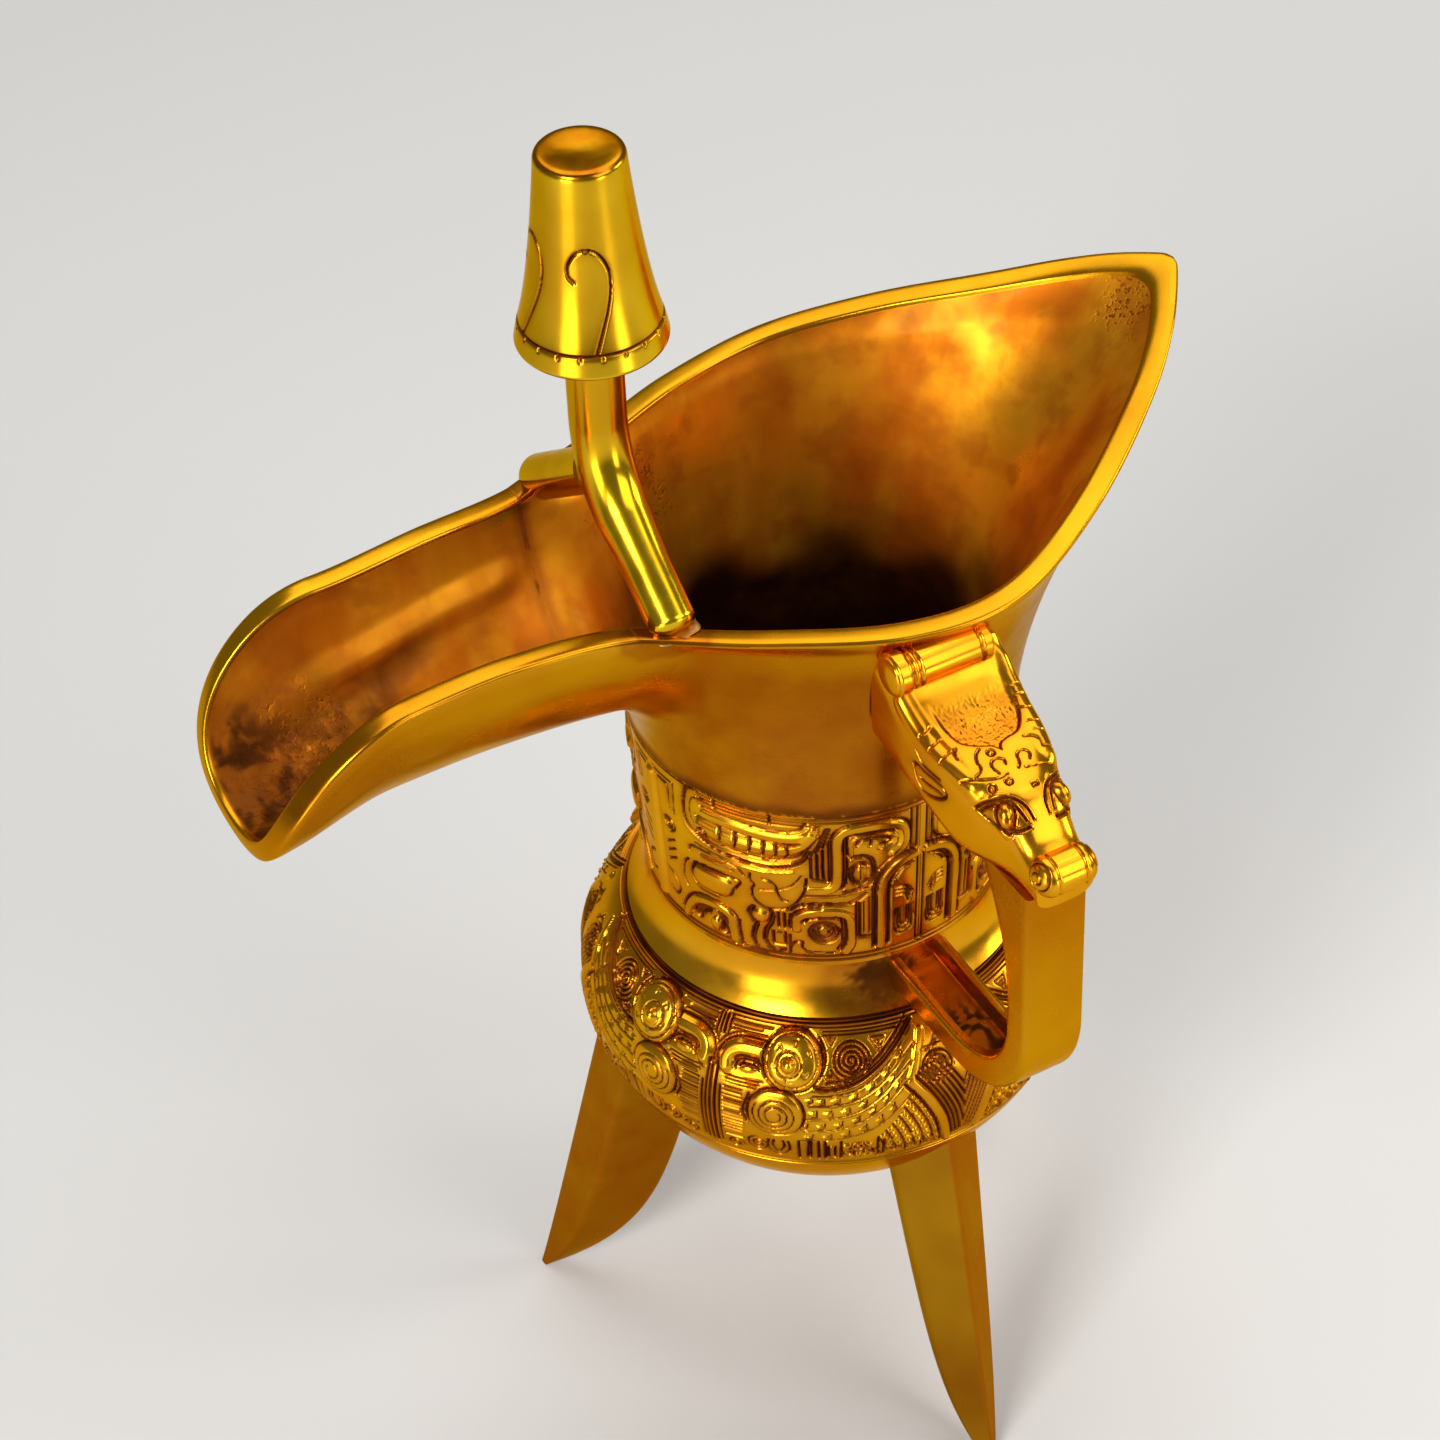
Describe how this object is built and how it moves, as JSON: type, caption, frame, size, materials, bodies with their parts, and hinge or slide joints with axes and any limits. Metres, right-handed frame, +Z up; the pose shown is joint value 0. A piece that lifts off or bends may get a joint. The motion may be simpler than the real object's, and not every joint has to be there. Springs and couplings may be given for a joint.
{
  "type": "jue wine vessel",
  "caption": "Gilt bronze jue: a footed ritual wine cup with a long open spout, a pointed tail, a beast-head loop handle and a capped post on a fork.",
  "frame": {"origin": "on the floor under the middle of the vessel's box", "axes": "+Z up, -X towards the spout, +X towards the pointed tail, -Y towards the handle"},
  "size_m": [0.1492, 0.1046, 0.2296],
  "materials": {
    "body_brass": "polished gilt brass with soft brushing, and orange-brown patina inside",
    "carved_brass": "polished relief with red-brown patina in the recesses",
    "leg_brass": "ground and polished faces",
    "post_brass": "polished, with engraved lines and grey solder at the feet"
  },
  "bodies": {
    "root": {"belly": "carved_brass", "neck": "carved_brass", "mouth": "body_brass", "spout": "body_brass", "handle_head": "carved_brass", "handle_loop": "body_brass", "leg_handle_side": "leg_brass", "leg_tail_side": "leg_brass", "leg_spout_side": "leg_brass", "post_rod": "post_brass", "post_far_leg": "post_brass", "post_cap": "post_brass"}
  },
  "joints": []
}
